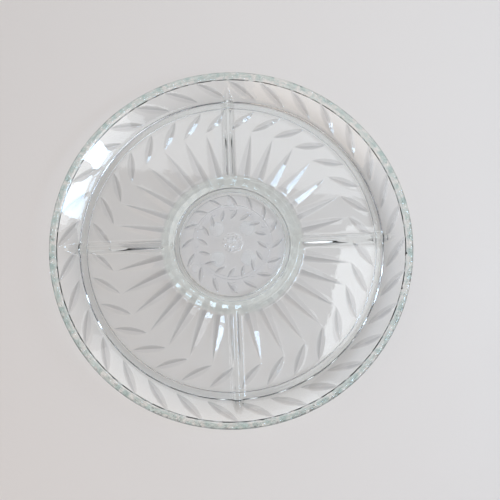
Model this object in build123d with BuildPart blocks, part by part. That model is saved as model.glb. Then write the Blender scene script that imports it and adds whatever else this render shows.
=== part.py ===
from build123d import *
import os
from math import asin, atan2, cos, degrees, hypot, radians, sin

# A divided glass serving tray that turns on a low, clear ball turntable: a lazy susan.
# Millimetres, +Z up. The spin axis is Z and the table is at Z = 0. A rib lies along +X.
# Heights are stacked from the table up: feet, base plate, balls, head plate, pads, tray.

# ---------------------------------------------------------------- swivel: driving sizes
ball_diameter = 4.0
ball_count = 12
track_radius = 34.0
race_clearance = 0.05  # between a ball and the groove it rolls in
pocket_clearance = 0.1  # between a ball and its pocket in the cage

head_radius = 48.9
head_thickness = 2.4
base_inset = 1.4  # of the base plate's edge from the head plate's
base_thickness = 2.4
plate_gap = 2.4  # daylight between base plate and head plate
plate_edge = 0.6  # rounding of both plates' rims

cage_width = 7.0
cage_thickness = 1.4

foot_count = 6
foot_radius = 4.0
foot_inset = 6.5  # from the base plate's edge to a foot's centre
foot_stand = 1.0  # how far the feet hold the base plate off the table
foot_recess = 0.6
foot_edge = 0.4

pad_count = 4
pad_radius = 7.0
pad_circle = 20.0
pad_stand = 0.6  # how far the pads hold the tray off the head plate
pad_recess = 0.4
pocket_fit = 0.1  # radial play of a foot or pad in its pocket
pad_edge = 0.2

pin_radius = 3.0
pin_flange_radius = 5.5
pin_flange_thickness = 0.8
pin_clearance = 0.06  # running fit of the head plate on the pin
hub_radius = 7.5
base_hub_height = 0.4
head_hub_height = 1.4
hub_web = 1.5  # head plate left under the washer
retainer_radius = 6.0  # room for washer and clip in the head plate
washer_radius = 5.6
washer_thickness = 0.5
clip_radius = 5.2
clip_thickness = 0.6
clip_groove_depth = 0.6
clip_mouth = 3.6
stack_clearance = 0.05  # axial play between parts that turn on each other
pin_point = 0.3  # chamfer at the top of the pin

# ------------------------------------------------------------------ tray: driving sizes
tray_radius = 165.0
tray_clearance = 2.0  # between the tray's foot ring and the table
tray_depth = 20.5  # from the foot ring's face to the rim
floor_thickness = 4.5
well_thickness = 4.5
ring_height = 3.0  # foot ring and centre ring, below the floor
foot_ring_radius = 141.2
foot_ring_width = 6.4
centre_ring_width = 4.4
ring_draft = 0.4
locating_clearance = 0.5  # between the centre ring and the head plate
wall_foot_radius = 142.0
wall_foot_rise = 2.6  # above the foot ring's face
rim_width = 4.8
rim_collar = 3.9  # upright band on the outside of the rim
floor_edge_radius = 140.5
rib_count = 4
rib_height = 6.0  # ribs and divider ring, above the floor
rib_base_width = 10.0
rib_top_width = 3.6
divider_base_radius = 65.6
divider_base_width = 11.2
divider_top_radius = 61.6
divider_top_width = 3.6
rim_round = 1.9
crown_round = 1.3
floor_round = 4.0  # in the hollows beside the wall and outside the divider
well_round = 2.0  # in the hollow inside the divider
ring_round = 0.5

# ------------------------------------------------------- cuts in the tray's underside
sector_count = 32  # flutes, floor leaves and wall leaves
well_sector_count = 16  # both rows of leaves under the centre well
flute_gap = 0.8  # from the centre ring to the flutes' deepest points
flute_tip_radius = 111.0
flute_width = 12.6
flute_depth = 1.6
floor_leaf_inner, floor_leaf_outer = 112.0, 132.6
floor_leaf_width = 7.6
floor_leaf_depth = 1.3
wall_leaf_inner, wall_leaf_outer = 144.5, 160.5
wall_leaf_width = 8.0
wall_leaf_depth = 1.5
well_line_radius = 34.3
well_line_width = 1.8
well_line_depth = 0.6
well_leaf_inner, well_leaf_outer = 35.4, 47.4
well_leaf_width = 5.0
well_leaf_depth = 1.0
heart_leaf_inner, heart_leaf_outer = 22.5, 33.2
heart_leaf_width = 4.2
heart_leaf_depth = 0.9
well_leaf_sweep = 0.65  # of a sector, from a leaf's inner tip to its outer tip
well_leaf_turn = -2.8  # degrees, from a rib to the nearest leaf under the well
button_radius = 10.0
button_depth = 0.5
cutter_reach = 1.5  # how far the cutters stand out of the glass
cutter_overrun = 1.1  # the arc a cutter sweeps, over the arc that reaches the leaf's tips

# ------------------------------------------------------------------------ levels in Z
base_under = foot_stand
base_top = base_under + base_thickness
head_under = base_top + plate_gap
head_top = head_under + head_thickness
well_under = head_top + pad_stand
well_top = well_under + well_thickness
ball_height = (base_top + head_under) / 2
ring_face = tray_clearance
floor_under = ring_face + ring_height
floor_top = floor_under + floor_thickness
rib_top = floor_top + rib_height
rim_top = ring_face + tray_depth
wall_foot = ring_face + wall_foot_rise
collar_foot = rim_top - rim_collar

centre_ring_inner = head_radius + locating_clearance + ring_draft
centre_ring_outer = centre_ring_inner + centre_ring_width
foot_ring_inner = foot_ring_radius - foot_ring_width
rim_inner_radius = tray_radius - rim_width
pin_bore_radius = pin_radius + pin_clearance
washer_seat = head_under - head_hub_height + hub_web
clip_under = washer_seat + washer_thickness + 2 * stack_clearance
pin_top = head_top - stack_clearance
groove_radius = ball_diameter / 2 + race_clearance

base_radius = head_radius - base_inset
foot_circle = base_radius - foot_inset

sector = 360 / sector_count
well_sector = 360 / well_sector_count
wall_slope = degrees(atan2(collar_foot - wall_foot, tray_radius - wall_foot_radius))

same_spot = 0.01  # points closer than this are one corner

os.makedirs("parts", exist_ok=True)


def write(part, name):
    """Label a finished piece and export it as its own STEP file."""
    part.label = name
    export_step(part, f"parts/{name}.step")


# ============================================================================== tray
def tray_body():
    """The pressed blank: one turned section with floor, well, rings, divider and wall."""
    line_left = well_line_radius - well_line_width / 2
    line_right = well_line_radius + well_line_width / 2
    outline = [
        (0, well_under + button_depth),
        (button_radius, well_under),
        (line_left, well_under),
        (well_line_radius, well_under + well_line_depth),
        (line_right, well_under),
        (centre_ring_inner - ring_draft, well_under),
        (centre_ring_inner, ring_face),
        (centre_ring_outer, ring_face),
        (centre_ring_outer + ring_draft, floor_under),
        (foot_ring_inner - ring_draft, floor_under),
        (foot_ring_inner, ring_face),
        (foot_ring_radius, ring_face),
        (wall_foot_radius, wall_foot),
        (tray_radius, collar_foot),
        (tray_radius, rim_top),
        (rim_inner_radius, rim_top),
        (floor_edge_radius, floor_top),
        (divider_base_radius, floor_top),
        (divider_top_radius, rib_top),
        (divider_top_radius - divider_top_width, rib_top),
        (divider_base_radius - divider_base_width, well_top),
        (0, well_top),
    ]
    with BuildPart() as body:
        with BuildSketch(Plane.XZ) as section:
            with BuildLine():
                Polyline(outline, close=True)
            make_face()
            corners = section.vertices()
            fillet(corners.filter_by_position(Axis.Y, rim_top, rim_top), rim_round)
            crown = section.vertices().filter_by_position(Axis.Y, rib_top, rib_top)
            fillet(crown, crown_round)
            hollow = [(floor_edge_radius, floor_top), (divider_base_radius, floor_top)]
            fillet(corners_at(section, hollow), floor_round)
            well_edge = (divider_base_radius - divider_base_width, well_top)
            fillet(corners_at(section, [well_edge]), well_round)
            faces = section.vertices().filter_by_position(Axis.Y, ring_face, ring_face)
            fillet(faces, ring_round)
        revolve(axis=Axis.Z)
    return body


def corners_at(section, points):
    """The corners of a sketch that stand at the given points."""
    return section.vertices().filter_by(
        lambda corner: any(
            hypot(corner.X - x, corner.Y - y) < same_spot for x, y in points
        )
    )


def rib():
    """One radial divider, cut off below the floor and inside the wall's thickness."""
    start = divider_top_radius - divider_top_width / 2
    sunk = floor_top - floor_thickness / 2
    wall_run = (rim_inner_radius - floor_edge_radius) / (rim_top - floor_top)
    reach = floor_edge_radius + rib_height * wall_run + floor_thickness / 2
    with BuildPart() as divider:
        with BuildSketch(Plane.YZ.offset(start)):
            with BuildLine():
                Polyline(
                    (-rib_base_width / 2, floor_top),
                    (-rib_top_width / 2, rib_top),
                    (rib_top_width / 2, rib_top),
                    (rib_base_width / 2, floor_top),
                    (rib_base_width / 2, sunk),
                    (-rib_base_width / 2, sunk),
                    close=True,
                )
            make_face()
        extrude(amount=reach - start)
        crest = divider.edges().filter_by(Axis.X).group_by(Axis.Z)[-1]
        fillet(crest, crown_round)
        with BuildSketch(Plane.XZ):
            with BuildLine():
                Polyline(
                    (0, sunk),
                    (floor_edge_radius, sunk),
                    (reach, rib_top),
                    (0, rib_top),
                    close=True,
                )
            make_face()
        revolve(axis=Axis.Z, mode=Mode.INTERSECT)
    return divider


def mitre_cutter(length, width, depth, share_before=1.0):
    """The piece of a V-edged wheel that cuts one leaf: X along the leaf, Z out of the glass.

    share_before is how much of the half before the deepest point is cut.
    """
    half = length / 2
    wheel = (half**2 + depth**2) / (2 * depth)
    hub = wheel - depth
    spread = (depth + cutter_reach) / depth * width / 2
    before = degrees(asin(half * share_before / wheel)) * cutter_overrun
    after = degrees(asin(half / wheel)) * cutter_overrun
    lean = radians(after)
    with BuildPart() as cutter:
        edge_plane = Plane(
            origin=(0, 0, hub), x_dir=(0, 1, 0), z_dir=(cos(lean), 0, sin(lean))
        )
        with BuildSketch(edge_plane):
            with BuildLine():
                Polyline(
                    (0, -wheel),
                    (spread, -hub + cutter_reach),
                    (-spread, -hub + cutter_reach),
                    close=True,
                )
            make_face()
        revolve(axis=Axis((0, 0, hub), (0, 1, 0)), revolution_arc=before + after)
    return cutter


def surface_plane(radius, height, slope, slant):
    """A plane on the underside, Z out of the glass, X leaning off the radial by slant."""
    lean, turn = radians(slope), radians(slant)
    along = (cos(lean) * cos(turn), sin(turn), sin(lean) * cos(turn))
    return Plane(
        origin=(radius, 0, height), x_dir=along, z_dir=(sin(lean), 0, -cos(lean))
    )


def leaf_between(inner, outer, sweep, slope=0.0):
    """Length, slant, middle radius of a leaf whose tips are sweep degrees apart."""
    across = (inner + outer) / 2 * radians(sweep)
    along = (outer - inner) / cos(radians(slope))
    return hypot(across, along), degrees(atan2(across, along)), (inner + outer) / 2


def cut_ring(body, cutter, plane, count, phase):
    """Cut one ring of equal leaves."""
    with body:
        with PolarLocations(0, count, start_angle=phase):
            with Locations(plane):
                add(cutter.part, mode=Mode.SUBTRACT)


def glass_tray():
    """The tray: pressed blank, ribs, and five rings of cuts underneath."""
    tray = tray_body()
    divider = rib()
    with tray:
        with PolarLocations(0, rib_count):
            add(divider.part)

    flute_start = centre_ring_outer + flute_gap
    flute = mitre_cutter(
        2 * (flute_tip_radius - flute_start), flute_width, flute_depth, 0.0
    )
    flute_plane = surface_plane(flute_start, floor_under, 0, 0)
    cut_ring(tray, flute, flute_plane, sector_count, 0)

    length, slant, middle = leaf_between(floor_leaf_inner, floor_leaf_outer, sector)
    leaf = mitre_cutter(length, floor_leaf_width, floor_leaf_depth)
    plane = surface_plane(middle, floor_under, 0, -slant)
    cut_ring(tray, leaf, plane, sector_count, sector / 2)

    length, slant, middle = leaf_between(
        wall_leaf_inner, wall_leaf_outer, sector, wall_slope
    )
    leaf = mitre_cutter(length, wall_leaf_width, wall_leaf_depth)
    rise = (middle - wall_foot_radius) * (collar_foot - wall_foot)
    height = wall_foot + rise / (tray_radius - wall_foot_radius)
    plane = surface_plane(middle, height, wall_slope, slant)
    cut_ring(tray, leaf, plane, sector_count, sector / 2)

    well_sweep = well_sector * well_leaf_sweep
    length, slant, middle = leaf_between(well_leaf_inner, well_leaf_outer, well_sweep)
    leaf = mitre_cutter(length, well_leaf_width, well_leaf_depth)
    plane = surface_plane(middle, well_under, 0, slant)
    cut_ring(tray, leaf, plane, well_sector_count, well_leaf_turn)

    length, slant, middle = leaf_between(heart_leaf_inner, heart_leaf_outer, well_sweep)
    leaf = mitre_cutter(length, heart_leaf_width, heart_leaf_depth)
    plane = surface_plane(middle, well_under, 0, -slant)
    cut_ring(tray, leaf, plane, well_sector_count, well_leaf_turn)
    return tray


# ============================================================================ swivel
def ball_groove():
    """The room the balls roll through: a ring of round section about the spin axis."""
    with BuildPart() as groove:
        with BuildSketch(Plane.XZ):
            with Locations((track_radius, ball_height)):
                Circle(groove_radius)
        revolve(axis=Axis.Z)
    return groove


def base_plate():
    """The still plate: ball track and hub on top, pockets for the feet below."""
    groove = ball_groove()
    with BuildPart() as plate:
        with BuildSketch(Plane.XY.offset(base_under)):
            Circle(base_radius)
        extrude(amount=base_thickness)
        fillet(plate.edges().filter_by(GeomType.CIRCLE), plate_edge)
        with BuildSketch(Plane.XY.offset(base_top)):
            Circle(hub_radius)
        extrude(amount=base_hub_height)
        with Locations(Plane.XY.offset(base_under).rotated((180, 0, 0))):
            CounterBoreHole(pin_radius, pin_flange_radius, pin_flange_thickness)
        with BuildSketch(Plane.XY.offset(base_under)):
            with PolarLocations(foot_circle, foot_count, start_angle=180 / foot_count):
                Circle(foot_radius + pocket_fit)
        extrude(amount=foot_recess, mode=Mode.SUBTRACT)
        add(groove.part, mode=Mode.SUBTRACT)
    return plate


def foot():
    """One clear silicone bumper."""
    with BuildPart() as bumper:
        with BuildSketch():
            Circle(foot_radius)
        extrude(amount=foot_stand + foot_recess)
        fillet(bumper.edges().group_by(Axis.Z)[0], foot_edge)
    return bumper


def pivot_pin():
    """The pin that ties the plates together, pressed into the base plate from below."""
    with BuildPart() as pin:
        with BuildSketch(Plane.XY.offset(base_under)):
            Circle(pin_flange_radius)
        extrude(amount=pin_flange_thickness)
        with BuildSketch(Plane.XY.offset(base_under)):
            Circle(pin_radius)
        extrude(amount=pin_top - base_under)
        chamfer(pin.edges().group_by(Axis.Z)[-1], pin_point)
        with BuildSketch(Plane.XY.offset(clip_under - stack_clearance)):
            Circle(pin_radius)
            Circle(pin_radius - clip_groove_depth, mode=Mode.SUBTRACT)
        extrude(amount=clip_thickness + 2 * stack_clearance, mode=Mode.SUBTRACT)
    return pin


def head_plate():
    """The turning plate: ball track and hub below, pockets for the pads above."""
    groove = ball_groove()
    with BuildPart() as plate:
        with BuildSketch(Plane.XY.offset(head_under)):
            Circle(head_radius)
        extrude(amount=head_thickness)
        fillet(plate.edges().filter_by(GeomType.CIRCLE), plate_edge)
        with BuildSketch(Plane.XY.offset(head_under)):
            Circle(hub_radius)
        extrude(amount=-head_hub_height)
        with Locations(Plane.XY.offset(head_top)):
            CounterBoreHole(pin_bore_radius, retainer_radius, head_top - washer_seat)
        with BuildSketch(Plane.XY.offset(head_top)):
            with PolarLocations(pad_circle, pad_count, start_angle=180 / pad_count):
                Circle(pad_radius + pocket_fit)
        extrude(amount=-pad_recess, mode=Mode.SUBTRACT)
        add(groove.part, mode=Mode.SUBTRACT)
    return plate


def grip_pad():
    """One clear silicone disc that carries the tray and stops it slipping."""
    with BuildPart() as pad:
        with BuildSketch(Plane.XY.offset(head_top - pad_recess)):
            Circle(pad_radius)
        extrude(amount=pad_recess + pad_stand)
        fillet(pad.edges().group_by(Axis.Z)[-1], pad_edge)
    return pad


def thrust_washer():
    """The washer between the turning head plate and the still clip."""
    with BuildPart() as washer:
        with BuildSketch(Plane.XY.offset(washer_seat + stack_clearance)):
            Circle(washer_radius)
            Circle(pin_bore_radius, mode=Mode.SUBTRACT)
        extrude(amount=washer_thickness)
    return washer


def retaining_clip():
    """The open clip that snaps into the pin's groove and keeps the plates together."""
    with BuildPart() as clip:
        with BuildSketch(Plane.XY.offset(clip_under)):
            Circle(clip_radius)
            Circle(pin_radius - clip_groove_depth + stack_clearance, mode=Mode.SUBTRACT)
            with Locations((clip_radius / 2, 0)):
                Rectangle(clip_radius, clip_mouth, mode=Mode.SUBTRACT)
        extrude(amount=clip_thickness)
    return clip


def ball_cage():
    """The ring that keeps the balls evenly spaced, at half the head plate's speed."""
    with BuildPart() as cage:
        with BuildSketch(Plane.XY.offset(ball_height - cage_thickness / 2)):
            Circle(track_radius + cage_width / 2)
            Circle(track_radius - cage_width / 2, mode=Mode.SUBTRACT)
            with PolarLocations(track_radius, ball_count):
                Circle(ball_diameter / 2 + pocket_clearance, mode=Mode.SUBTRACT)
        extrude(amount=cage_thickness)
    return cage


def bearing_ball(azimuth):
    """One ball on the track, its poles on the radial line that it rolls about."""
    place = Plane(origin=(track_radius, 0, ball_height), z_dir=(1, 0, 0))
    with BuildPart() as ball:
        with PolarLocations(0, 1, start_angle=azimuth):
            with Locations(place):
                Sphere(ball_diameter / 2)
    return ball


def placed(piece, circle, azimuth):
    """A copy of a piece, moved out from the axis to its own place on a circle."""
    with BuildPart() as copy:
        with PolarLocations(circle, 1, start_angle=azimuth):
            add(piece.part)
    return copy.part


write(glass_tray().part, "glass_tray")
write(head_plate().part, "head_plate")
write(base_plate().part, "base_plate")
write(pivot_pin().part, "pivot_pin")
write(thrust_washer().part, "thrust_washer")
write(retaining_clip().part, "retaining_clip")
write(ball_cage().part, "ball_cage")

for number in range(ball_count):
    write(bearing_ball(360 / ball_count * number).part, f"ball_{number + 1:02d}")

one_pad = grip_pad()
for number in range(pad_count):
    azimuth = 180 / pad_count + 360 / pad_count * number
    write(placed(one_pad, pad_circle, azimuth), f"grip_pad_{number + 1}")

one_foot = foot()
for number in range(foot_count):
    azimuth = 180 / foot_count + 360 / foot_count * number
    write(placed(one_foot, foot_circle, azimuth), f"foot_{number + 1}")
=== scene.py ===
import math

import bpy
import numpy as np
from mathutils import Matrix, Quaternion, Vector


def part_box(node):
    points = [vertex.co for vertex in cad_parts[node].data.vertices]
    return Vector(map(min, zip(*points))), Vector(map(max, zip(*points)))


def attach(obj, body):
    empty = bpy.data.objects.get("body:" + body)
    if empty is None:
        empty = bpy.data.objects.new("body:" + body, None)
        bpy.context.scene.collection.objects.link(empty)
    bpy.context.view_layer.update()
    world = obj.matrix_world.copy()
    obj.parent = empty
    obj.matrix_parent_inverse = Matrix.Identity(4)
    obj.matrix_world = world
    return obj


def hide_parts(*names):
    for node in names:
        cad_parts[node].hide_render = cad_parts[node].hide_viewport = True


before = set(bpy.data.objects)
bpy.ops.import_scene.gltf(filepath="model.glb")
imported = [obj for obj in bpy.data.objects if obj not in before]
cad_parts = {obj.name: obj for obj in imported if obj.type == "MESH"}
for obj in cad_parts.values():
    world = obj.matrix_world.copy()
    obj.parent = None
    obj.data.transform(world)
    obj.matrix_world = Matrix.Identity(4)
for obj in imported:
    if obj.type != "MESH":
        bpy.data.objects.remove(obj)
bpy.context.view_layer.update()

# A clear pressed-glass serving tray on a clear ball turntable. The frame is in metres.
# The tray's own sizes and formulas are in millimetres, and MM turns them into metres.
MM = 0.001

# ------------------------------------------------------------- the tray, in millimetres
low_corner, high_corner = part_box("glass_tray")
rim_radius = high_corner.x / MM
rim_top = high_corner.z / MM
ring_face = low_corner.z / MM
pad_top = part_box("grip_pad_1")[1].z / MM

glass_thickness = 4.5
ring_height = 3.0
rib_height = 6.0
wall_foot_rise = 2.6
rim_width, rim_collar, rim_round = 4.8, 3.9, 1.9

well_under = pad_top
well_top = well_under + glass_thickness
floor_under = ring_face + ring_height
floor_top = floor_under + glass_thickness
rib_top = floor_top + rib_height
wall_foot = ring_face + wall_foot_rise
collar_foot = rim_top - rim_collar
rim_inner_radius = rim_radius - rim_width
wall_foot_radius = 142.0
floor_edge_radius = 140.5
wall_lip_radius, wall_lip_drop = 159.4, 0.66  # where the wall's inside meets the rim
centre_ring_inner, centre_ring_outer = 49.8, 54.2
foot_ring_inner, foot_ring_outer = 134.8, 141.2
ring_draft = 0.4
divider_outside, divider_crown_out = 65.6, 61.6
divider_crown_in, divider_inside = 58.0, 54.4
rib_half_base, rib_half_crown = 5.0, 1.8
button_radius, button_depth = 10.0, 0.5
well_line_radius, well_line_width, well_line_depth = 34.3, 1.8, 0.6

# Softness of the pressed edges: the height over which two surfaces melt together.
rib_root_blend = 3.2
crown_blend = 2.0
wall_blend = 2.4
rib_to_divider_blend = 5.0

SECTORS, WELL_SECTORS = 32, 16  # flutes and leaves on the floor, and under the well
COLUMNS = 14 * SECTORS  # round the tray
crease = 0.22  # half the width of a fire-polished edge
table_gap = 0.03  # from the feet down to the table top, so that the faces never coincide
painted_shade_run_in = 0.12  # share of a cut's depth over which the painted shade on its facet reaches its full strength
even_from, even_over = 154.0, 8.0  # radii over which the upper columns even out
settling_rings = 4  # rings over which the lower columns even out beside a row of cuts
hair = 1e-6  # for comparing sizes that should be the same
SECTOR = math.radians(360 / SECTORS)
WALL_SLOPE = math.atan2(collar_foot - wall_foot, rim_radius - wall_foot_radius)


# ============================================================== cuts under the tray
class LeafRow:
    """A row of V-cut leaves. Each is straight, on the floor or on the unrolled wall."""

    def __init__(self, inner, outer, start, sweep, width, depth, slope=0.0):
        self.inner, self.outer, self.slope = inner, outer, slope
        self.depth, self.steepness = depth, 2 * depth / width
        tips = [
            radius / math.cos(slope) * np.exp(1j * angle * math.cos(slope))
            for radius, angle in ((inner, start), (outer, start + sweep))
        ]
        self.middle = (tips[0] + tips[1]) / 2
        self.half = abs(tips[1] - tips[0]) / 2
        self.heading = (tips[1] - tips[0]) / abs(tips[1] - tips[0])

    def valley(self, radius):
        """The angle of the leaf's deepest line at a radius."""
        reach = radius / math.cos(self.slope)
        lean = (self.middle * np.conj(self.heading)).real
        under_root = max(lean**2 - abs(self.middle) ** 2 + reach**2, 0.0)
        step = math.sqrt(under_root) - lean
        return np.angle(self.middle + step * self.heading) / math.cos(self.slope)

    def cut(self, radius, angle):
        """How deep the wheel cuts, in millimetres; below 0 it misses."""
        spot = radius / math.cos(self.slope) * np.exp(1j * angle * math.cos(self.slope))
        offset = (spot - self.middle) * np.conj(self.heading)
        along = offset.real / self.half
        return self.depth * (1 - along**2) - self.steepness * abs(offset.imag)


class FluteRow:
    """The ring of long flutes that start under the divider and taper to points."""

    slope = 0.0

    def __init__(self, inner, outer, width, depth, run_in):
        self.inner, self.outer, self.run_in = inner, outer, run_in
        self.depth, self.steepness = depth, 2 * depth / width

    def valley(self, radius):
        """Every flute runs straight out from the axis."""
        return 0.0

    def cut(self, radius, angle):
        """How deep the wheel cuts, in millimetres; below 0 it misses."""
        along = (radius - self.inner) / (self.outer - self.inner)
        rise = np.clip((radius - self.inner) / self.run_in, 0, 1)
        deepest = self.depth * (1 - along**2) * rise * rise * (3 - 2 * rise)
        return deepest - self.steepness * abs(radius * np.sin(angle))


def from_degrees(*angles):
    return [math.radians(angle) for angle in angles]


# Inner and outer radius, angle of the first tip, sweep to the second, width and depth.
well_tip_out, well_tip_in = from_degrees(4.5, -10.125)
heart_leaves = LeafRow(22.5, 33.2, well_tip_out, well_tip_in - well_tip_out, 4.2, 0.9)
well_leaves = LeafRow(35.4, 47.4, well_tip_in, well_tip_out - well_tip_in, 5.0, 1.0)
floor_leaves = LeafRow(112.0, 132.6, 0.0, -SECTOR, 7.6, 1.3)
wall_leaves = LeafRow(144.5, 160.5, -SECTOR, SECTOR, 8.0, 1.5, WALL_SLOPE)
# Inner and outer radius, width, depth and run-in.
flutes = FluteRow(54.9, 111.0, 12.6, 1.6, 3.0)


def along_leaf(row, count):
    """Radii of rings across a row of leaves, closer together towards the tips."""
    share = (1 - np.cos(np.linspace(0, math.pi, count))) / 2
    return list(row.inner + (row.outer - row.inner) * share)


# ================================================================ outline of the blank
def filleted(corners):
    """Rings of a turned outline. A corner is (radius, height, rounding, arc steps, rings).

    rings says what lies between this corner and the next: their number, or their radii.
    """
    spots = [np.array(corner[:2], float) for corner in corners]
    rings = []
    for k, (_, _, rounding, steps, between) in enumerate(corners):
        here = spots[k]
        if rounding:
            back = (spots[k - 1] - here) / np.linalg.norm(spots[k - 1] - here)
            ahead = (spots[k + 1] - here) / np.linalg.norm(spots[k + 1] - here)
            half_turn = math.acos(np.clip(back @ ahead, -1, 1)) / 2
            setback = rounding / math.tan(half_turn)
            first, last = here + back * setback, here + ahead * setback
            centre_way = (back + ahead) / np.linalg.norm(back + ahead)
            centre = here + centre_way * rounding / math.sin(half_turn)
            for share in np.linspace(0, 1, steps + 1):
                spoke = (first - centre) * (1 - share) + (last - centre) * share
                rings.append(centre + spoke / np.linalg.norm(spoke) * rounding)
        else:
            rings.append(here)
        if k + 1 < len(corners):
            there = spots[k + 1]
            if isinstance(between, int):
                shares = np.linspace(0, 1, between + 2)[1:-1]
                start = rings[-1]
                rings += [start + (there - start) * share for share in shares]
            else:
                for radius in between:
                    share = (radius - here[0]) / (there[0] - here[0])
                    rings.append(here + (there - here) * share)
    return np.array(rings)


# Radii of the rings between the corners of the underside.
button_rings = [1.5, 3.2, 5.0, 7.0, 8.8]
heart_rings = [12.5, 17.0, 21.0] + along_leaf(heart_leaves, 11)
well_rings = along_leaf(well_leaves, 11) + [48.2]
flute_rings = [55.3, 56.2, 57.2, 58.4, 60.5, 63, 66, 69.5, 74, 79, 84.5, 90, 95.5, 101]
flute_rings += [105.5, 108.8, 111.0]
floor_rings = along_leaf(floor_leaves, 14) + [133.5]
wall_rings = [143.6] + along_leaf(wall_leaves, 14) + [162.0, 163.6]

# The last corner is the rim's way down to the wall, and leaves no ring of its own.
under_rings = filleted(
    [
        (0, well_under + button_depth, 0, 0, button_rings),
        (button_radius, well_under, 4.0, 2, heart_rings),
        (well_line_radius - well_line_width / 2, well_under, 0.25, 1, 0),
        (well_line_radius, well_under + well_line_depth, 0.25, 2, 0),
        (well_line_radius + well_line_width / 2, well_under, 0.15, 1, well_rings),
        (centre_ring_inner - ring_draft, well_under, 0.5, 3, 3),
        (centre_ring_inner, ring_face, 0.5, 3, 1),
        (centre_ring_outer, ring_face, 0.5, 3, 1),
        (centre_ring_outer + ring_draft, floor_under, 0.3, 2, flute_rings + floor_rings),
        (foot_ring_inner - ring_draft, floor_under, 0.4, 2, 1),
        (foot_ring_inner, ring_face, 0.5, 3, 2),
        (foot_ring_outer, ring_face, 0.5, 3, 0),
        (wall_foot_radius, wall_foot, 0.8, 2, wall_rings),
        (rim_radius, collar_foot, 0.7, 3, 1),
        (rim_radius, rim_top, rim_round, 6, 1),
        (rim_inner_radius, rim_top, rim_round, 3, 0),
        (wall_lip_radius, rim_top - wall_lip_drop, 0, 0, 0),
    ]
)[:-1]

# Rings of the upper surface, closer together on the wall's foot and on the divider.
top_radii = np.concatenate(
    [
        np.linspace(159.2, 149.6, 11),
        [148, 145.8, 143.6, 142.4, 141.4, 140.4, 139.4, 138.2, 136.5],
        [131, 122, 111, 99, 87, 77, 72, 70, 68.6, 67.6, 66.8, 66.0],
        np.linspace(65.2, 53.6, 21),
        [52.6, 51.2, 46, 34, 20, 8, 0],
    ]
)


# ============================================================ the moulded upper surface
def melt_up(a, b, blend):
    """The higher of two surfaces, with the hollow between them filled."""
    share = np.clip(0.5 + 0.5 * (a - b) / blend, 0, 1)
    return b + (a - b) * share + blend * share * (1 - share)


def melt_down(a, b, blend):
    """The lower of two surfaces, with the ridge between them worn round."""
    return -melt_up(-a, -b, blend)


def upper_height(radius, from_rib):
    """Height of the upper surface at a radius and a distance from the nearest rib."""
    crown_middle = (divider_crown_in + divider_crown_out) / 2
    in_well = radius < crown_middle
    fall_out = (rib_top - floor_top) / (divider_outside - divider_crown_out)
    fall_in = (rib_top - well_top) / (divider_crown_in - divider_inside)
    rib_fall = (rib_top - floor_top) / (rib_half_base - rib_half_crown)
    wall_rise = (rim_top - floor_top) / (rim_inner_radius - floor_edge_radius)

    ground = np.where(in_well, well_top, floor_top)
    outer_side = floor_top + (divider_outside - radius) * fall_out
    inner_side = well_top + (radius - divider_inside) * fall_in
    rib_side = floor_top + (rib_half_base - from_rib) * rib_fall
    joined = melt_up(outer_side, rib_side, rib_to_divider_blend)
    side = np.where(in_well, inner_side, joined)
    raised = melt_down(side, rib_top, crown_blend)
    wall = floor_top + (radius - floor_edge_radius) * wall_rise
    return melt_up(melt_up(ground, raised, rib_root_blend), wall, wall_blend)


# ============================================================== columns round the tray
def half_sector(edge, radius, half, inside, outside):
    """Angles from a cut's valley, over its edge, to the middle of the land beside it."""
    soft = crease / radius
    edge = min(max(edge, 3 * soft), half - 2 * soft)
    facet = np.linspace(soft, edge - soft, inside + 2)
    land = np.linspace(edge + soft, half, outside + 2)
    return np.concatenate([[0], facet, [edge], land])


def edge_of(row, radius, half, side):
    """The angle from a leaf's valley to its edge, on one side."""
    steps = np.linspace(0, half, 160)
    depth = row.cut(radius, row.valley(radius) + side * steps)
    touched = np.nonzero(depth > 0)[0]
    return steps[touched[-1]] if len(touched) else 0.0


def cut_columns(row, radius, sectors):
    """Angles of all the columns on a ring that crosses a row of cuts."""
    half = math.pi / sectors
    per_half = COLUMNS // sectors // 2
    inside = 1 if sectors == SECTORS else 3
    outside = per_half - 5 - inside
    plus, minus = (
        half_sector(edge_of(row, radius, half, side), radius, half, inside, outside)
        for side in (1, -1)
    )
    one = np.concatenate([plus[:-1], 2 * half - minus[:0:-1]])
    turns = np.arange(sectors)[:, None] * 2 * half
    return (turns + one[None, :]).ravel()


def even_columns():
    """Angles of the columns where nothing is cut."""
    return np.arange(COLUMNS) * 2 * math.pi / COLUMNS


def rib_columns(radius):
    """Columns that run beside the ribs, and fan out evenly between them."""
    beside = np.array([0, 0.8, 1.5, 1.9, 2.25, 2.6, 3.0, 3.5, 4.0, 4.5, 5.0, 5.6, 6.5, 7.8])
    near = np.arcsin(beside / max(radius, divider_crown_out))
    fan = np.linspace(near[-1], math.pi / 4, COLUMNS // 8 - len(beside) + 2)[1:]
    half = np.concatenate([near, fan])
    quarter = np.concatenate([half[:-1], math.pi / 2 - half[:0:-1]])
    return (np.arange(4)[:, None] * math.pi / 2 + quarter[None, :]).ravel()


def painted_facet_shade(depth, deepest, from_valley):
    """Painted shade: -1 on a cut's clockwise facet, 1 on the other, and 0 on its edges and on the
    land.
    """
    full = np.clip(depth / (painted_shade_run_in * deepest), 0, 1)
    return full * np.sign(np.round(from_valley, 6))


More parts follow.
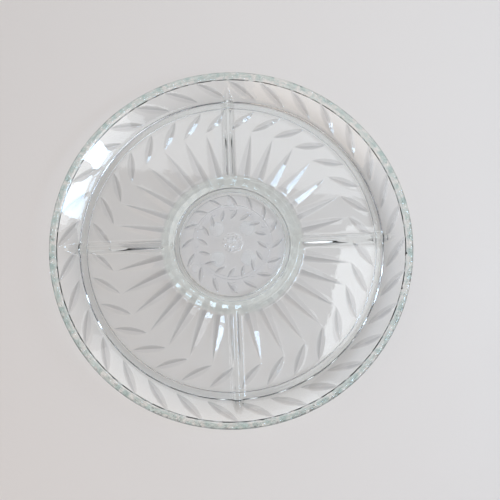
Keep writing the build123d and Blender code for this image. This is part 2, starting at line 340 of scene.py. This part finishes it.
def pressed_rings():
    """Every vertex of the tray ring by ring, in millimetres, and the painted shade of its facet."""
    rows = [(row, WELL_SECTORS) for row in (heart_leaves, well_leaves)]
    rows += [(row, SECTORS) for row in (flutes, floor_leaves, wall_leaves)]
    count = len(under_rings)
    patterns, twists = [None] * count, [None] * count
    for i, (radius, height) in enumerate(under_rings):
        on_ground = height > wall_foot - 0.01
        for row, sectors in rows:
            if on_ground and row.inner - hair <= radius <= row.outer + hair:
                patterns[i] = cut_columns(row, radius, sectors)
                twists[i] = row.valley(radius)
    known = [i for i in range(count) if twists[i] is not None]
    fixed = [0] + known + [count - 1]
    twist = np.interp(range(count), fixed, [twists[known[0]]] + [twists[i] for i in known] + [0])
    rings, painted_shades = [], []
    for i, (radius, height) in enumerate(under_rings):
        nearest = min(known, key=lambda k: abs(k - i))
        gap = abs(nearest - i)
        share = min(max((gap - 1) / settling_rings, 0), 1)
        pattern = patterns[nearest] * (1 - share) + even_columns() * share
        angles = pattern + twist[i]
        depth, shade = np.zeros(COLUMNS), np.zeros(COLUMNS)
        slope = 0.0
        for row, sectors in rows:
            if gap == 0 and row.inner - hair <= radius <= row.outer + hair:
                sector = 2 * math.pi / sectors
                from_valley = (pattern + sector / 2) % sector - sector / 2
                depth = np.maximum(row.cut(radius, from_valley + row.valley(radius)), 0)
                shade = painted_facet_shade(depth, row.depth, from_valley)
                slope = row.slope
        reach = radius - depth * math.sin(slope)
        z = height + depth * math.cos(slope)
        rings.append(np.stack([reach * np.cos(angles), reach * np.sin(angles), z], 1))
        painted_shades.append(shade)
    for radius in top_radii:
        share = np.clip((radius - even_from) / even_over, 0, 1)
        angles = rib_columns(radius) * (1 - share) + even_columns() * share
        from_rib = (angles + math.pi / 4) % (math.pi / 2) - math.pi / 4
        distance = abs(radius * np.sin(from_rib))
        z = upper_height(np.full(COLUMNS, radius), distance)
        rings.append(np.stack([radius * np.cos(angles), radius * np.sin(angles), z], 1))
        painted_shades.append(np.zeros(COLUMNS))
    return np.array(rings), np.array(painted_shades)


# ================================================================= modelling by hand
def nothing_selected():
    """Back to object mode, with every object deselected."""
    if bpy.context.mode != "OBJECT":
        bpy.ops.object.mode_set(mode="OBJECT")
    bpy.ops.object.select_all(action="DESELECT")


def turned_blank(name, outline, columns):
    """A round blank, spun from an outline drawn point by point from axis to axis."""
    nothing_selected()
    bpy.ops.mesh.primitive_plane_add(size=MM)
    blank = bpy.context.object
    blank.name = name
    bpy.ops.object.mode_set(mode="EDIT")
    bpy.ops.mesh.select_all(action="SELECT")
    bpy.ops.mesh.merge(type="CENTER")
    spot = Vector((0, 0, 0))
    for k, (radius, height) in enumerate(outline):
        step = Vector((radius, 0, height)) - spot
        if k == 0:
            bpy.ops.transform.translate(value=step)
        else:
            bpy.ops.mesh.extrude_region_move(TRANSFORM_OT_translate={"value": step})
        spot += step
    bpy.ops.mesh.select_all(action="SELECT")
    bpy.ops.mesh.spin(
        steps=columns,
        angle=2 * math.pi,
        use_auto_merge=True,
        center=(0, 0, 0),
        axis=(0, 0, 1),
    )
    bpy.ops.mesh.select_all(action="SELECT")
    bpy.ops.mesh.remove_doubles(threshold=MM / 500)
    bpy.ops.object.mode_set(mode="OBJECT")
    return blank


def press(blank, outline, rings, painted_shades):
    """Press the spun blank in its mould: each vertex goes to its place on its ring.

    The painted shade of the facet that it is on is written beside it, for the glass to read.
    """
    count = len(blank.data.vertices)
    spots = np.empty(count * 3)
    blank.data.vertices.foreach_get("co", spots)
    spots = spots.reshape(count, 3)
    radius = np.hypot(spots[:, 0], spots[:, 1])
    turn = np.arctan2(spots[:, 1], spots[:, 0]) / (2 * math.pi) * COLUMNS
    column = np.rint(turn).astype(int) % COLUMNS
    moved = spots.copy()
    facet = np.zeros(count)
    for i, (ring_radius, ring_height) in enumerate(outline):
        on_ring = np.hypot(radius - ring_radius, spots[:, 2] - ring_height) < MM / 200
        moved[on_ring] = rings[i][column[on_ring]]
        facet[on_ring] = painted_shades[i][column[on_ring]]
    # The "facet" attribute holds painted shade: one facet of each cut darker than the other.
    blank.data.attributes.new("facet", "FLOAT", "POINT").data.foreach_set("value", facet)
    blank.data.vertices.foreach_set("co", moved.ravel())
    blank.data.update()
    bpy.ops.object.mode_set(mode="EDIT")
    bpy.ops.mesh.select_all(action="SELECT")
    bpy.ops.mesh.normals_make_consistent(inside=False)
    bpy.ops.object.mode_set(mode="OBJECT")


def glass_tray():
    """The tray: a spun blank, pressed to its ribs above and its cuts below."""
    far_from_ribs = np.full(len(top_radii), 50.0)
    rings, painted_shades = pressed_rings()
    plain_top = np.stack([top_radii, upper_height(top_radii, far_from_ribs)], 1)
    outline = np.concatenate([under_rings, plain_top]) * MM
    tray = turned_blank("pressed_glass_tray", outline, COLUMNS)
    press(tray, outline, rings * MM, painted_shades)
    bpy.ops.object.shade_smooth()
    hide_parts("glass_tray")
    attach(tray, "tray")
    return tray


# ========================================================================== materials
plain_glass = (1.0, 1.0, 1.0, 1)
# Painted shade on the cuts: each cut's clockwise facet darker, its other facet a little darker, for
# the shadows the cuts throw.
painted_shade_clockwise_facet, painted_shade_other_facet = (0.5, 0.5, 0.51, 1), (0.84, 0.84, 0.85, 1)
divider_glass = (0.94, 0.97, 0.955, 1)
button_spot = (0.8, 0.8, 0.81, 1)
# Painted shade: the steep sides of the centre and foot rings darkened.
painted_ring_side_shade = (0.3, 0.31, 0.33, 1)
pale_rim, green_rim = (0.97, 0.96, 0.93, 1), (0.6, 0.74, 0.71, 1)
divider_fades_out = 63.5 * MM, 66.5 * MM
divider_fades_in = 54.4 * MM, 53.4 * MM
painted_shade_under_ring = 0.3  # share of the facets' painted shade that shows under the divider ring
stipple_cells = 640.0  # per metre
stipple_relief, bead_relief = 9.0, 24.0  # as times the skin's own waviness

# Share of the lamps' light that passes, from square on (0) to edge on (1).
glass_clearness = [(0, 1.08), (0.2, 1.02), (0.35, 0.9), (0.5, 0.62), (0.75, 0.52), (1, 0.4)]
plastic_clearness = [(0, 1), (0.7, 0.99), (1, 0.9)]


def effect_group(name, inputs, output):
    """A shader node group with plain number inputs and one output, both named."""
    group = bpy.data.node_groups.new(name, "ShaderNodeTree")
    for label, value in inputs.items():
        socket = group.interface.new_socket(label, in_out="INPUT", socket_type="NodeSocketFloat")
        socket.default_value = value
    group.interface.new_socket(output, in_out="OUTPUT", socket_type="NodeSocketFloat")
    return group, group.nodes.new("NodeGroupInput"), group.nodes.new("NodeGroupOutput")


def maths(nodes, links, operation, *values):
    """A Math node. A value is a number, or an output that is linked in."""
    node = nodes.new("ShaderNodeMath")
    node.operation = operation
    for k, value in enumerate(values):
        if isinstance(value, (int, float)):
            node.inputs[k].default_value = value
        else:
            links.new(value, node.inputs[k])
    return node.outputs[0]


def ramp_between(nodes, links, value, nothing, full):
    """0 where value is nothing or beyond, 1 where it is full or beyond."""
    ramp = nodes.new("ShaderNodeMapRange")
    ramp.inputs["From Min"].default_value = nothing
    ramp.inputs["From Max"].default_value = full
    links.new(value, ramp.inputs["Value"])
    return ramp.outputs[0]


def noise(nodes, links, coordinates, scale, detail):
    """A soft cloudy value. The scale is a number, or an output that is linked in."""
    texture = nodes.new("ShaderNodeTexNoise")
    texture.inputs["Detail"].default_value = detail
    links.new(coordinates, texture.inputs["Vector"])
    if isinstance(scale, (int, float)):
        texture.inputs["Scale"].default_value = scale
    else:
        links.new(scale, texture.inputs["Scale"])
    return texture.outputs[0]


def make_ripple():
    """The slow waviness of a surface that a flame or a mould has smoothed."""
    inputs = {"Waves per metre": 90.0, "Fine share": 0.2}
    group, given, made = effect_group("moulded_ripple", inputs, "Height")
    nodes, links = group.nodes, group.links
    place = nodes.new("ShaderNodeTexCoord").outputs["Object"]
    slow = noise(nodes, links, place, given.outputs["Waves per metre"], 1.0)
    faster = maths(nodes, links, "MULTIPLY", given.outputs["Waves per metre"], 5.0)
    fine = noise(nodes, links, place, faster, 2.0)
    fine = maths(nodes, links, "MULTIPLY", fine, given.outputs["Fine share"])
    links.new(maths(nodes, links, "ADD", slow, fine), made.inputs["Height"])
    return group


def make_smudges():
    """Roughness with the cloudy marks that hands and drying water leave."""
    inputs = {"Clean": 0.0, "Smudged": 0.1, "Marks per metre": 30.0}
    group, given, made = effect_group("handling_smudges", inputs, "Roughness")
    nodes, links = group.nodes, group.links
    place = nodes.new("ShaderNodeTexCoord").outputs["Object"]
    cloud = noise(nodes, links, place, given.outputs["Marks per metre"], 4.0)
    spread = nodes.new("ShaderNodeMapRange")
    spread.inputs["From Min"].default_value = 0.52
    spread.inputs["From Max"].default_value = 0.75
    links.new(cloud, spread.inputs["Value"])
    links.new(given.outputs["Clean"], spread.inputs["To Min"])
    links.new(given.outputs["Smudged"], spread.inputs["To Max"])
    links.new(spread.outputs[0], made.inputs["Roughness"])
    return group


ripple = make_ripple()
smudges = make_smudges()


def new_material(name):
    """A new material with its nodes, its links and its main shader."""
    material = bpy.data.materials.new(name)
    material.use_nodes = True
    nodes = material.node_tree.nodes
    return material, nodes, material.node_tree.links, nodes["Principled BSDF"]


def use_group(nodes, group, **values):
    """A node group placed with its own values; _ in a name stands for a space."""
    node = nodes.new("ShaderNodeGroup")
    node.node_tree = group
    for label, value in values.items():
        node.inputs[label.replace("_", " ")].default_value = value
    return node.outputs[0]


def wavy(nodes, links, shader, height, distance):
    """Bump from a height, in metres of relief."""
    bump = nodes.new("ShaderNodeBump")
    bump.inputs["Distance"].default_value = distance
    links.new(height, bump.inputs["Height"])
    links.new(bump.outputs[0], shader.inputs["Normal"])


def let_lamps_through(nodes, links, shader, clearness):
    """Lamps and the light off other things pass a clear piece, weaker where they graze it.

    clearness gives (facing, share of the light) from square on, 0, to edge on, 1.
    """
    path = nodes.new("ShaderNodeLightPath")
    angle = nodes.new("ShaderNodeLayerWeight")
    angle.inputs["Blend"].default_value = 0.5
    ramp = nodes.new("ShaderNodeValToRGB")
    stops = ramp.color_ramp.elements
    stops.remove(stops[1])
    for k, (position, share) in enumerate(clearness):
        stop = stops[0] if k == 0 else stops.new(position)
        stop.position = position
        stop.color = (share, share, share, 1)
    clear = nodes.new("ShaderNodeBsdfTransparent")
    links.new(angle.outputs["Facing"], ramp.inputs[0])
    links.new(ramp.outputs[0], clear.inputs["Color"])
    surface = shader.outputs[0]
    for ray in ("Is Diffuse Ray", "Is Shadow Ray"):
        mix = nodes.new("ShaderNodeMixShader")
        links.new(path.outputs[ray], mix.inputs[0])
        links.new(surface, mix.inputs[1])
        links.new(clear.outputs[0], mix.inputs[2])
        surface = mix.outputs[0]
    links.new(surface, nodes["Material Output"].inputs["Surface"])


def blend(nodes, links, share, first, second, way="MIX"):
    """The first colour blended towards the second by a share; each is a value or a socket."""
    mix = nodes.new("ShaderNodeMix")
    mix.data_type = "RGBA"
    mix.blend_type = way
    links.new(share, mix.inputs[0])
    sockets = [socket for socket in mix.inputs if socket.type == "RGBA"]
    for socket, colour in zip(sockets, (first, second)):
        if isinstance(colour, tuple):
            socket.default_value = colour
        else:
            links.new(colour, socket)
    return next(socket for socket in mix.outputs if socket.type == "RGBA")


def where_on_tray(nodes, links):
    """An output for the place, one for the distance from the axis, and one for the height."""
    place = nodes.new("ShaderNodeTexCoord").outputs["Object"]
    split = nodes.new("ShaderNodeSeparateXYZ")
    links.new(place, split.inputs[0])
    across = maths(nodes, links, "POWER", split.outputs["X"], 2.0)
    along = maths(nodes, links, "POWER", split.outputs["Y"], 2.0)
    from_middle = maths(nodes, links, "SQRT", maths(nodes, links, "ADD", across, along))
    return place, from_middle, split.outputs["Z"]


def glass_relief(nodes, links, stipple, button, edge):
    """Height of the fire-polished skin, the button's stipple and the rim's fine beads."""
    dots = maths(nodes, links, "MULTIPLY", stipple, button)
    dots = maths(nodes, links, "MULTIPLY", dots, stipple_relief)
    waves = use_group(nodes, ripple, Waves_per_metre=60.0, Fine_share=0.12)
    beads = use_group(nodes, ripple, Waves_per_metre=150.0, Fine_share=0.4)
    beads = maths(nodes, links, "MULTIPLY", beads, maths(nodes, links, "MULTIPLY", edge, bead_relief))
    return maths(nodes, links, "ADD", maths(nodes, links, "ADD", waves, dots), beads)


def painted_cut_shade(nodes, links, clear_of_ring):
    """Painted shade on the cuts' facets, fainter where the divider ring stands over the flutes."""
    facet = nodes.new("ShaderNodeAttribute")
    facet.attribute_name = "facet"
    share = maths(nodes, links, "MULTIPLY", clear_of_ring, 1 - painted_shade_under_ring)
    share = maths(nodes, links, "ADD", share, painted_shade_under_ring)
    lit = maths(nodes, links, "MULTIPLY", facet.outputs["Fac"], share)
    shade = nodes.new("ShaderNodeValToRGB")
    stops = shade.color_ramp.elements
    stops[0].position, stops[0].color = 0.0, painted_shade_clockwise_facet
    stops[1].position, stops[1].color = 1.0, painted_shade_other_facet
    stops.new(0.5).color = plain_glass
    links.new(ramp_between(nodes, links, lit, -1.0, 1.0), shade.inputs[0])
    return shade.outputs[0]


def glass_colour(nodes, links, from_middle, height, stipple, button, edge):
    """Colour of the glass: painted shade on its cuts and ring sides, and its divider, button and
    green rim.
    """
    outside = ramp_between(nodes, links, from_middle, *divider_fades_out)
    inside = ramp_between(nodes, links, from_middle, *divider_fades_in)
    clear_of_ring = maths(nodes, links, "MAXIMUM", outside, inside)
    over_ring = maths(nodes, links, "SUBTRACT", 1.0, clear_of_ring)
    cuts = painted_cut_shade(nodes, links, clear_of_ring)
    colour = blend(nodes, links, over_ring, cuts, divider_glass, "MULTIPLY")

    spots = ramp_between(nodes, links, stipple, 0.5, 0.7)
    spots = maths(nodes, links, "MULTIPLY", spots, button)
    colour = blend(nodes, links, spots, colour, button_spot, "MULTIPLY")

    # Painted shade on the steep sides of the centre and foot rings.
    face, foot = ring_face * MM, wall_foot * MM
    above_face = ramp_between(nodes, links, height, face + 0.1 * MM, face + 0.4 * MM)
    below_wall = ramp_between(nodes, links, height, foot - 0.05 * MM, foot - 0.25 * MM)
    painted_ring_shade_mask = maths(nodes, links, "MULTIPLY", above_face, below_wall)
    colour = blend(nodes, links, painted_ring_shade_mask, colour, painted_ring_side_shade)

    patches = use_group(nodes, ripple, Waves_per_metre=170.0, Fine_share=0.3)
    patches = ramp_between(nodes, links, patches, 0.6, 0.72)
    rim_colour = blend(nodes, links, patches, pale_rim, green_rim)
    return blend(nodes, links, edge, colour, rim_colour)


def tray_glass():
    """Soda-lime glass: green in thick places, fire-polished, with a stippled button and painted shade
    on its cuts and ring sides.
    """
    material, nodes, links, glass = new_material("soda_lime_glass")
    glass.inputs["IOR"].default_value = 1.52
    glass.inputs["Transmission Weight"].default_value = 1.0
    rough = use_group(nodes, smudges, Clean=0.0, Smudged=0.05, Marks_per_metre=45.0)
    links.new(rough, glass.inputs["Roughness"])

    place, from_middle, height = where_on_tray(nodes, links)
    button = ramp_between(nodes, links, from_middle, button_radius * MM, (button_radius - 1.5) * MM)
    edge = ramp_between(nodes, links, from_middle, (rim_radius - 5.2) * MM, (rim_radius - 4.4) * MM)
    cells = nodes.new("ShaderNodeTexVoronoi")
    cells.inputs["Scale"].default_value = stipple_cells
    links.new(place, cells.inputs["Vector"])
    stipple = cells.outputs["Distance"]
    wavy(nodes, links, glass, glass_relief(nodes, links, stipple, button, edge), 0.06 * MM)
    colour = glass_colour(nodes, links, from_middle, height, stipple, button, edge)
    links.new(colour, glass.inputs["Base Color"])

    tint = nodes.new("ShaderNodeVolumeAbsorption")
    tint.inputs["Color"].default_value = (0.62, 0.9, 0.85, 1)
    tint.inputs["Density"].default_value = 6.0
    links.new(tint.outputs[0], nodes["Material Output"].inputs["Volume"])
    let_lamps_through(nodes, links, glass, glass_clearness)
    return material


def clear_plastic(name, ior, waves):
    """Water-clear moulded plastic, faintly wavy, rubbed where it's handled."""
    material, nodes, links, plastic = new_material(name)
    plastic.inputs["Base Color"].default_value = (0.985, 0.99, 1.0, 1)
    plastic.inputs["IOR"].default_value = ior
    plastic.inputs["Transmission Weight"].default_value = 1.0
    rough = use_group(nodes, smudges, Clean=0.02, Smudged=0.12, Marks_per_metre=70.0)
    links.new(rough, plastic.inputs["Roughness"])
    height = use_group(nodes, ripple, Waves_per_metre=waves, Fine_share=0.3)
    wavy(nodes, links, plastic, height, 0.03 * MM)
    let_lamps_through(nodes, links, plastic, plastic_clearness)
    return material


def thin_clear(name, milkiness, clean, smudged, waves):
    """A small clear piece: a little milky in its body, dulled by a fine skin."""
    material, nodes, links, piece = new_material(name)
    piece.inputs["Base Color"].default_value = (0.93, 0.94, 0.95, 1)
    piece.inputs["IOR"].default_value = 1.3
    piece.inputs["Alpha"].default_value = milkiness
    rough = use_group(nodes, smudges, Clean=clean, Smudged=smudged, Marks_per_metre=160.0)
    links.new(rough, piece.inputs["Roughness"])
    height = use_group(nodes, ripple, Waves_per_metre=waves, Fine_share=0.8)
    wavy(nodes, links, piece, height, 0.05 * MM)
    return material


def pale_table():
    """A matt painted table top, with a fine orange-peel skin."""
    material, nodes, links, paint = new_material("pale_table_paint")
    paint.inputs["Base Color"].default_value = (0.7, 0.65, 0.605, 1)
    rough = use_group(nodes, smudges, Clean=0.75, Smudged=0.6, Marks_per_metre=6.0)
    links.new(rough, paint.inputs["Roughness"])
    height = use_group(nodes, ripple, Waves_per_metre=260.0, Fine_share=0.5)
    wavy(nodes, links, paint, height, 0.06 * MM)
    return material


def dress_inner_pieces():
    """Gives every piece of the swivel its finish."""
    finishes = {
        "plate": clear_plastic("clear_polycarbonate", 1.07, 60.0),
        "cage": clear_plastic("clear_cage_plastic", 1.07, 150.0),
        "ball": clear_plastic("ball_glass", 1.12, 200.0),
        "small": thin_clear("clear_acetal", 0.04, 0.12, 0.3, 250.0),
        "silicone": thin_clear("clear_silicone", 0.06, 0.28, 0.5, 400.0),
    }
    kinds = {
        "ball_cage": "cage",
        "head_plate": "plate",
        "base_plate": "plate",
        "ball": "ball",
        "grip_pad": "silicone",
        "foot": "silicone",
        "pivot_pin": "small",
        "thrust_washer": "small",
        "retaining_clip": "small",
    }
    for name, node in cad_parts.items():
        kind = next((kinds[start] for start in kinds if name.startswith(start)), None)
        if kind:
            for material_slot in node.material_slots:
                material_slot.material = finishes[kind]


# ============================================================================== stage
def table():
    """The pale table top that the turntable stands on."""
    nothing_selected()
    bpy.ops.mesh.primitive_plane_add(size=6, location=(0, 0, -table_gap * MM))
    floor = bpy.context.object
    floor.name = "table_top"
    floor.data.materials.append(pale_table())


def panel_light(name, azimuth, elevation, distance, size, power, colour):
    """A soft panel that faces the tray, placed by its azimuth and elevation in degrees."""
    turn, lift = from_degrees(azimuth, elevation)
    data = bpy.data.lights.new(name, "AREA")
    data.shape = "RECTANGLE"
    data.size, data.size_y = size
    data.energy = power
    data.color = colour
    lamp = bpy.data.objects.new(name, data)
    bpy.context.collection.objects.link(lamp)
    way = (math.cos(lift) * math.cos(turn), math.cos(lift) * math.sin(turn), math.sin(lift))
    lamp.location = Vector(way) * distance
    lamp.rotation_mode = "QUATERNION"
    lamp.rotation_quaternion = (-Vector(way)).to_track_quat("-Z", "Y")


def lights():
    """A pale room, three large soft panels and two small window panes."""
    room = bpy.data.worlds.new("room")
    bpy.context.scene.world = room
    room.use_nodes = True
    nodes, links = room.node_tree.nodes, room.node_tree.links
    split = nodes.new("ShaderNodeSeparateXYZ")
    shade = nodes.new("ShaderNodeValToRGB")
    stops = shade.color_ramp.elements
    stops[0].position, stops[0].color = 0.0, (0.3, 0.3, 0.32, 1)
    stops[1].position, stops[1].color = 0.7, (0.46, 0.45, 0.49, 1)
    links.new(nodes.new("ShaderNodeTexCoord").outputs["Generated"], split.inputs[0])
    links.new(split.outputs["Z"], shade.inputs[0])
    links.new(shade.outputs[0], nodes["Background"].inputs["Color"])
    nodes["Background"].inputs["Strength"].default_value = 0.6
    warm, cool, blue = (1.0, 0.83, 0.68), (0.93, 0.97, 1.0), (0.55, 0.76, 1.0)
    panel_light("warm_panel", 225, 44, 1.2, (0.9, 0.9), 3.2, warm)
    panel_light("far_panel", 80, 46, 1.6, (1.5, 1.5), 10.5, cool)
    panel_light("cool_panel", -14, 62, 1.5, (0.9, 0.9), 7, cool)
    panel_light("left_pane", -21, 45, 1.5, (0.17, 0.28), 3.2, blue)
    panel_light("right_pane", -5, 41, 1.5, (0.36, 0.3), 4.6, blue)


def camera():
    """Looking down on the tray from above its near edge."""
    azimuth, elevation, roll = from_degrees(-9.4, 79.15, 7.1)
    aim = Vector((16.2, -4.97, 0.0)) * MM
    distance = 0.5645
    level = math.cos(elevation)
    back = Vector((math.sin(azimuth) * level, -math.cos(azimuth) * level, math.sin(elevation)))
    data = bpy.data.cameras.new("camera")
    data.lens = 43.2
    data.sensor_width = 36
    data.clip_start = 0.01
    eye = bpy.data.objects.new("camera", data)
    bpy.context.collection.objects.link(eye)
    eye.location = aim + back * distance
    eye.rotation_mode = "QUATERNION"
    eye.rotation_quaternion = (-back).to_track_quat("-Z", "Y") @ Quaternion((0, 0, 1), roll)
    bpy.context.scene.camera = eye


camera()
tray = glass_tray()
tray.data.materials.clear()
tray.data.materials.append(tray_glass())
dress_inner_pieces()
table()
lights()

scene = bpy.context.scene
scene.view_settings.view_transform = "Standard"
# Light crosses many clear walls, one under another, before it reaches the table.
scene.cycles.transparent_max_bounces = 32
scene.cycles.max_bounces = 32
scene.cycles.transmission_bounces = 32
